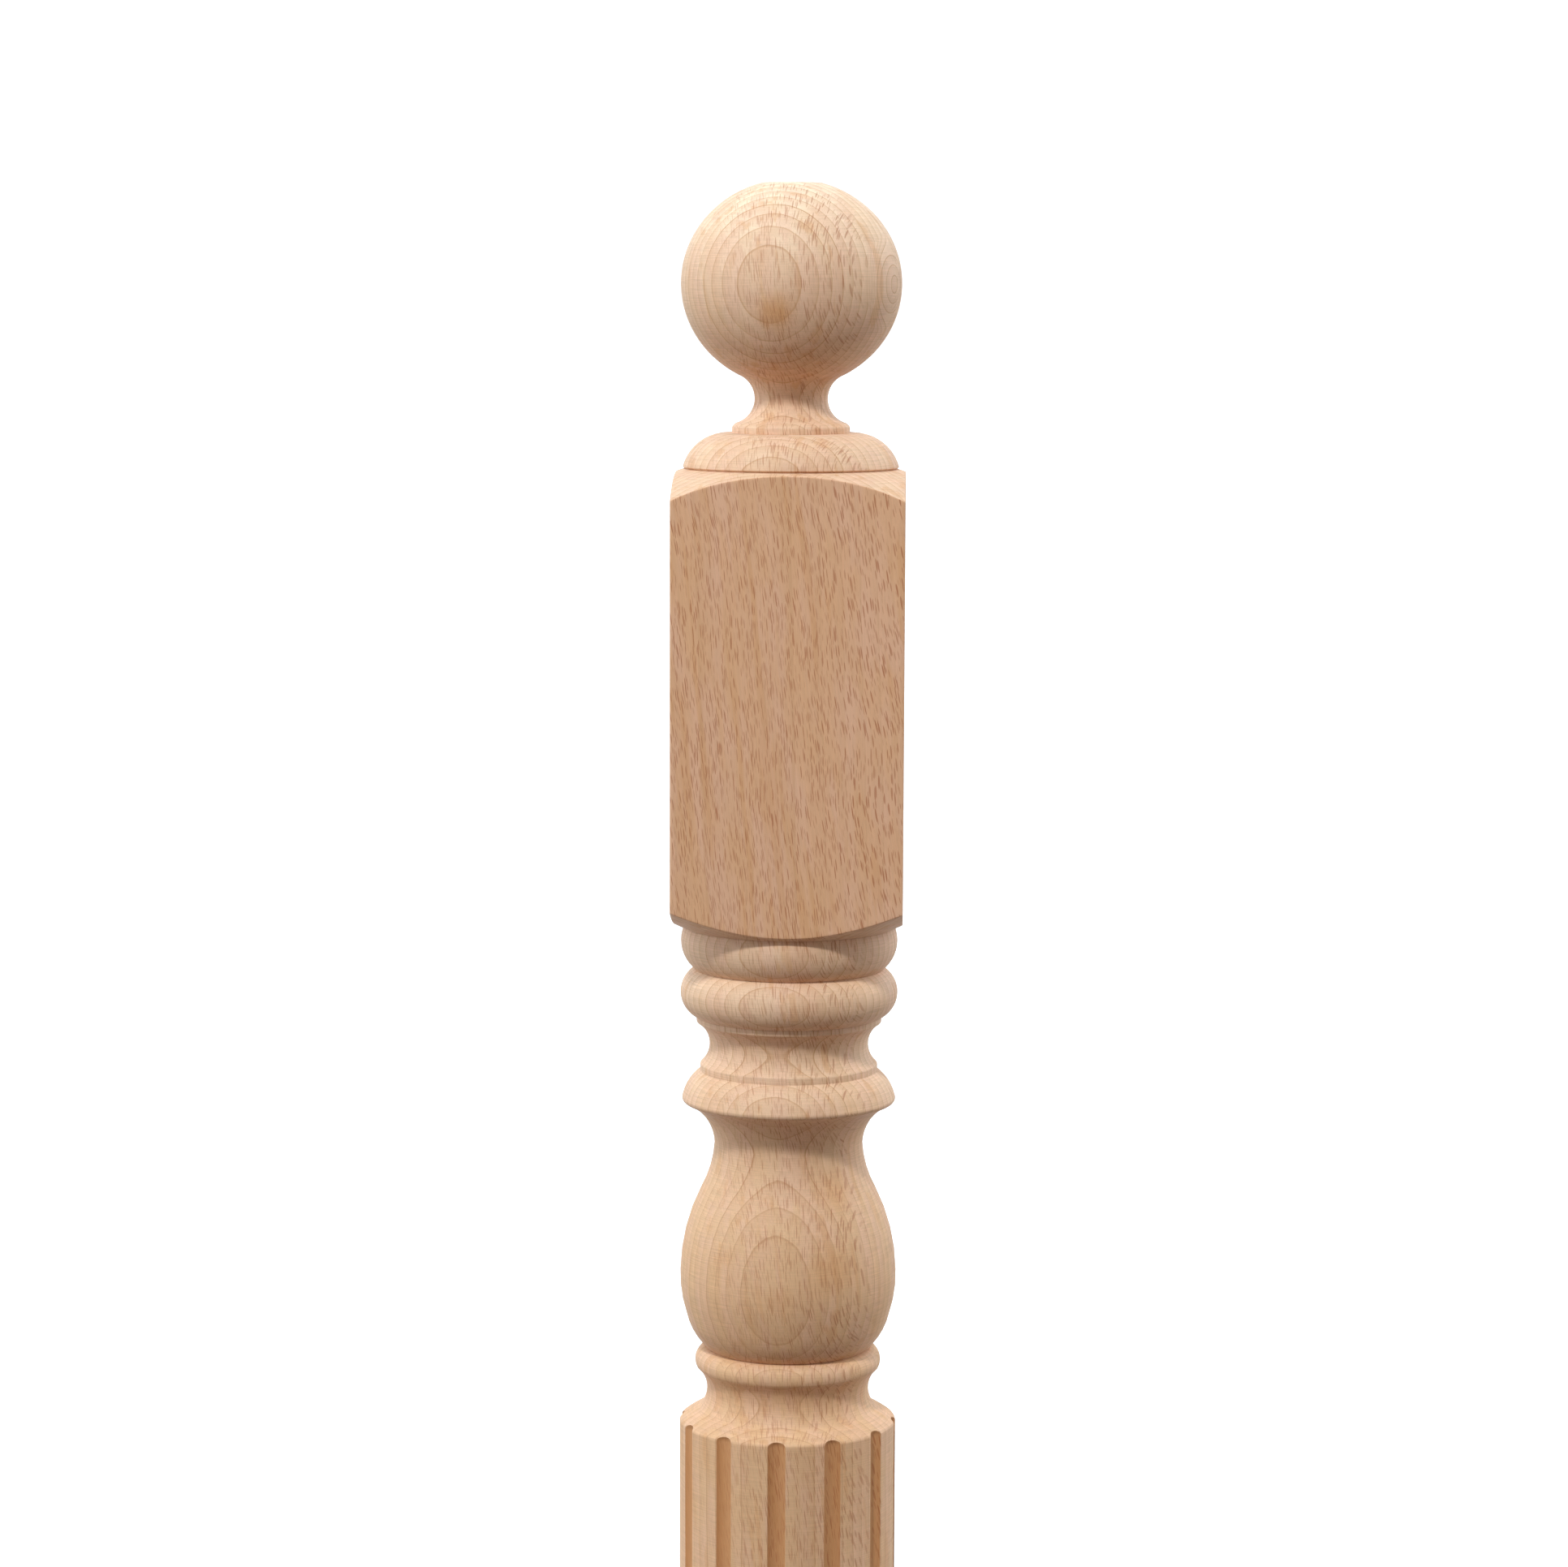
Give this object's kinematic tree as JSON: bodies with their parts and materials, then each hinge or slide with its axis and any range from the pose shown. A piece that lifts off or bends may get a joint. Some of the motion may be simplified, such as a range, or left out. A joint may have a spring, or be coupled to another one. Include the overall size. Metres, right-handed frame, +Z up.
{
  "type": "turned newel post",
  "caption": "Turned and fluted stair newel post with a ball top, cut from one square wooden blank, with square blocks for the handrail and the foot.",
  "frame": {"origin": "centre of the flat underside of the base block", "axes": "+Z up along the turning axis; -Y is the front face of the blocks, +X its right side seen from the front"},
  "size_m": [0.09, 0.09, 1.2],
  "materials": {
    "beech": "bare, sanded, no varnish"
  },
  "bodies": {
    "root": {"newel_post": "beech"}
  },
  "joints": []
}
